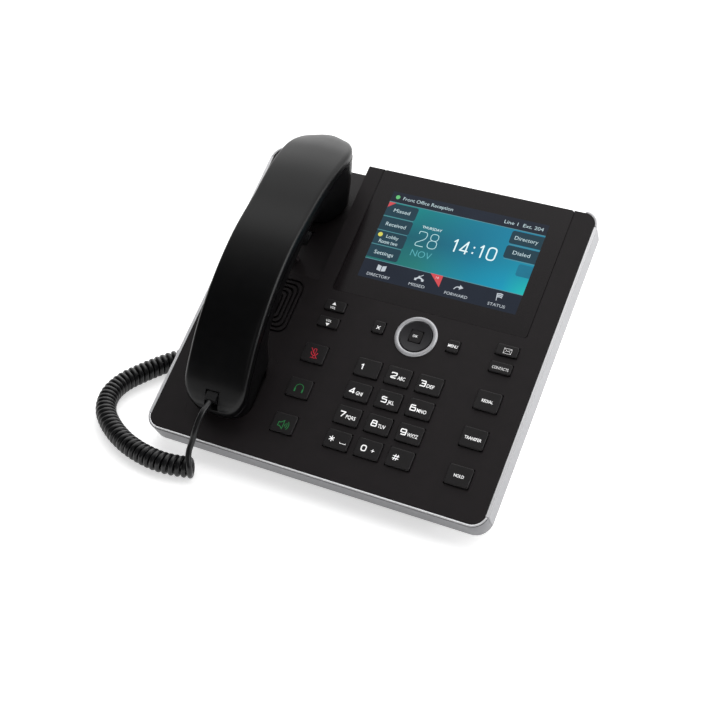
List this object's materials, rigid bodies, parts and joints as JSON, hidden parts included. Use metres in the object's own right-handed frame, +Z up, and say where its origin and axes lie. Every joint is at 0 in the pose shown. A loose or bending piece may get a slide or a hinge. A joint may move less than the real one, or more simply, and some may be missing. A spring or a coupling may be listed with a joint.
{
  "type": "desk ip phone",
  "caption": "Desk IP phone with a silver-rimmed black face, colour display, dial and function keys, a lift-off handset in a cradle and a curly cord.",
  "frame": {"origin": "on the desk, in the middle of the phone's footprint without its cord", "axes": "+X to the user's right, +Y away from the user, +Z up"},
  "size_m": [0.2845, 0.2212, 0.1507],
  "materials": {
    "key_plastic": "satin black",
    "face_plastic": "fine matt texture",
    "base_plastic": "matt texture",
    "silver_rim": "satin silver",
    "corner_grey": "satin grey",
    "display_glass": "polished",
    "lcd": "lit screen",
    "silver_ring": "satin chrome",
    "nav_plastic": "semi-gloss",
    "silicone": "matt",
    "circuit_board": "solder mask",
    "speaker_metal": "black",
    "jack_plastic": "plain",
    "jack_metal": "tinned shell",
    "foot_rubber": "matt",
    "screw_steel": "zinc",
    "handset_plastic": "satin black",
    "plug_plastic": "tinted clear",
    "cord_sheath": "satin PVC"
  },
  "bodies": {
    "root": {"audio_jacks": "jack_plastic", "base_plug": "plug_plastic", "cord_base_lead": "cord_sheath", "cord_coil": "cord_sheath", "corner_caps": "corner_grey", "display_lens": "display_glass", "front_cover": "face_plastic", "handset_tab": "face_plastic", "housing_screws": "screw_steel", "keypad_board": "circuit_board", "keypad_mat": "silicone", "lcd_module": "lcd", "loudspeaker": "speaker_metal", "main_board": "circuit_board", "nav_ring": "silver_ring", "network_jacks": "jack_metal", "power_jack": "jack_plastic", "rear_cover": "base_plastic", "rim_front": "silver_rim", "rim_sides": "silver_rim", "rubber_feet": "foot_rubber", "speaker_grille": "face_plastic", "stand": "base_plastic"},
    "handset": {"handset_outer_shell": "handset_plastic", "handset_inner_shell": "handset_plastic", "earpiece_cap": "handset_plastic", "mouthpiece_cap": "handset_plastic", "receiver_capsule": "speaker_metal", "handset_microphone": "speaker_metal", "handset_weight": "screw_steel", "handset_plug": "plug_plastic", "cord_lead": "cord_sheath"},
    "nav_gimbal": {"nav_gimbal": "silicone"},
    "nav_disc": {"nav_disc": "nav_plastic"},
    "ok_key": {"ok_key": "key_plastic"},
    "hook_lever": {"hook_lever": "base_plastic"},
    "key_1": {"key_1": "key_plastic"},
    "key_2": {"key_2": "key_plastic"},
    "key_3": {"key_3": "key_plastic"},
    "key_4": {"key_4": "key_plastic"},
    "key_5": {"key_5": "key_plastic"},
    "key_6": {"key_6": "key_plastic"},
    "key_7": {"key_7": "key_plastic"},
    "key_8": {"key_8": "key_plastic"},
    "key_9": {"key_9": "key_plastic"},
    "key_star": {"key_star": "key_plastic"},
    "key_0": {"key_0": "key_plastic"},
    "key_hash": {"key_hash": "key_plastic"},
    "mute_key": {"mute_key": "key_plastic"},
    "headset_key": {"headset_key": "key_plastic"},
    "speaker_key": {"speaker_key": "key_plastic"},
    "redial_key": {"redial_key": "key_plastic"},
    "transfer_key": {"transfer_key": "key_plastic"},
    "hold_key": {"hold_key": "key_plastic"},
    "volume_up_key": {"volume_up_key": "key_plastic"},
    "volume_down_key": {"volume_down_key": "key_plastic"},
    "voicemail_key": {"voicemail_key": "key_plastic"},
    "contacts_key": {"contacts_key": "key_plastic"},
    "menu_key": {"menu_key": "key_plastic"},
    "cancel_key": {"cancel_key": "key_plastic"}
  },
  "joints": [
    {"name": "handset_lift", "type": "slide", "parent": "root", "child": "handset", "axis": [0, -0.5402, 0.8415], "range_m": [0, 0.06]},
    {"name": "key_1_press", "type": "slide", "parent": "root", "child": "key_1", "axis": [0, 0.5402, -0.8415], "range_m": [0, 0.0012], "stiffness_N_per_m": 400, "springref_m": -0.0005},
    {"name": "key_2_press", "type": "slide", "parent": "root", "child": "key_2", "axis": [0, 0.5402, -0.8415], "range_m": [0, 0.0012], "stiffness_N_per_m": 400, "springref_m": -0.0005},
    {"name": "key_3_press", "type": "slide", "parent": "root", "child": "key_3", "axis": [0, 0.5402, -0.8415], "range_m": [0, 0.0012], "stiffness_N_per_m": 400, "springref_m": -0.0005},
    {"name": "key_4_press", "type": "slide", "parent": "root", "child": "key_4", "axis": [0, 0.5402, -0.8415], "range_m": [0, 0.0012], "stiffness_N_per_m": 400, "springref_m": -0.0005},
    {"name": "key_5_press", "type": "slide", "parent": "root", "child": "key_5", "axis": [0, 0.5402, -0.8415], "range_m": [0, 0.0012], "stiffness_N_per_m": 400, "springref_m": -0.0005},
    {"name": "key_6_press", "type": "slide", "parent": "root", "child": "key_6", "axis": [0, 0.5402, -0.8415], "range_m": [0, 0.0012], "stiffness_N_per_m": 400, "springref_m": -0.0005},
    {"name": "key_7_press", "type": "slide", "parent": "root", "child": "key_7", "axis": [0, 0.5402, -0.8415], "range_m": [0, 0.0012], "stiffness_N_per_m": 400, "springref_m": -0.0005},
    {"name": "key_8_press", "type": "slide", "parent": "root", "child": "key_8", "axis": [0, 0.5402, -0.8415], "range_m": [0, 0.0012], "stiffness_N_per_m": 400, "springref_m": -0.0005},
    {"name": "key_9_press", "type": "slide", "parent": "root", "child": "key_9", "axis": [0, 0.5402, -0.8415], "range_m": [0, 0.0012], "stiffness_N_per_m": 400, "springref_m": -0.0005},
    {"name": "key_star_press", "type": "slide", "parent": "root", "child": "key_star", "axis": [0, 0.5402, -0.8415], "range_m": [0, 0.0012], "stiffness_N_per_m": 400, "springref_m": -0.0005},
    {"name": "key_0_press", "type": "slide", "parent": "root", "child": "key_0", "axis": [0, 0.5402, -0.8415], "range_m": [0, 0.0012], "stiffness_N_per_m": 400, "springref_m": -0.0005},
    {"name": "key_hash_press", "type": "slide", "parent": "root", "child": "key_hash", "axis": [0, 0.5402, -0.8415], "range_m": [0, 0.0012], "stiffness_N_per_m": 400, "springref_m": -0.0005},
    {"name": "mute_key_press", "type": "slide", "parent": "root", "child": "mute_key", "axis": [0, 0.5402, -0.8415], "range_m": [0, 0.0012], "stiffness_N_per_m": 400, "springref_m": -0.0005},
    {"name": "headset_key_press", "type": "slide", "parent": "root", "child": "headset_key", "axis": [0, 0.5402, -0.8415], "range_m": [0, 0.0012], "stiffness_N_per_m": 400, "springref_m": -0.0005},
    {"name": "speaker_key_press", "type": "slide", "parent": "root", "child": "speaker_key", "axis": [0, 0.5402, -0.8415], "range_m": [0, 0.0012], "stiffness_N_per_m": 400, "springref_m": -0.0005},
    {"name": "redial_key_press", "type": "slide", "parent": "root", "child": "redial_key", "axis": [0, 0.5402, -0.8415], "range_m": [0, 0.0012], "stiffness_N_per_m": 400, "springref_m": -0.0005},
    {"name": "transfer_key_press", "type": "slide", "parent": "root", "child": "transfer_key", "axis": [0, 0.5402, -0.8415], "range_m": [0, 0.0012], "stiffness_N_per_m": 400, "springref_m": -0.0005},
    {"name": "hold_key_press", "type": "slide", "parent": "root", "child": "hold_key", "axis": [0, 0.5402, -0.8415], "range_m": [0, 0.0012], "stiffness_N_per_m": 400, "springref_m": -0.0005},
    {"name": "volume_up_key_press", "type": "slide", "parent": "root", "child": "volume_up_key", "axis": [0, 0.5402, -0.8415], "range_m": [0, 0.0012], "stiffness_N_per_m": 400, "springref_m": -0.0005},
    {"name": "volume_down_key_press", "type": "slide", "parent": "root", "child": "volume_down_key", "axis": [0, 0.5402, -0.8415], "range_m": [0, 0.0012], "stiffness_N_per_m": 400, "springref_m": -0.0005},
    {"name": "voicemail_key_press", "type": "slide", "parent": "root", "child": "voicemail_key", "axis": [0, 0.5402, -0.8415], "range_m": [0, 0.0012], "stiffness_N_per_m": 400, "springref_m": -0.0005},
    {"name": "contacts_key_press", "type": "slide", "parent": "root", "child": "contacts_key", "axis": [0, 0.5402, -0.8415], "range_m": [0, 0.0012], "stiffness_N_per_m": 400, "springref_m": -0.0005},
    {"name": "menu_key_press", "type": "slide", "parent": "root", "child": "menu_key", "axis": [0, 0.5402, -0.8415], "range_m": [0, 0.0012], "stiffness_N_per_m": 400, "springref_m": -0.0005},
    {"name": "cancel_key_press", "type": "slide", "parent": "root", "child": "cancel_key", "axis": [0, 0.5402, -0.8415], "range_m": [0, 0.0012], "stiffness_N_per_m": 400, "springref_m": -0.0005},
    {"name": "ok_key_press", "type": "slide", "parent": "root", "child": "ok_key", "axis": [0, 0.5402, -0.8415], "range_m": [0, 0.0012], "stiffness_N_per_m": 400, "springref_m": -0.0005},
    {"name": "nav_up_down", "type": "hinge", "parent": "root", "child": "nav_gimbal", "pos_m": [0.03255, -0.00612, 0.06833], "axis": [1, 0, 0], "range_deg": [-2.5, 2.5], "stiffness_Nm_per_rad": 0.05},
    {"name": "nav_left_right", "type": "hinge", "parent": "nav_gimbal", "child": "nav_disc", "pos_m": [0.03255, -0.00612, 0.06833], "axis": [0, 0.8415, 0.5402], "range_deg": [-2.5, 2.5], "stiffness_Nm_per_rad": 0.05},
    {"name": "hook_lever_press", "type": "hinge", "parent": "root", "child": "hook_lever", "pos_m": [-0.06905, 0.03524, 0.0909], "axis": [1, 0, 0], "range_deg": [-8, 0], "stiffness_Nm_per_rad": 0.02, "springref_deg": 5}
  ]
}
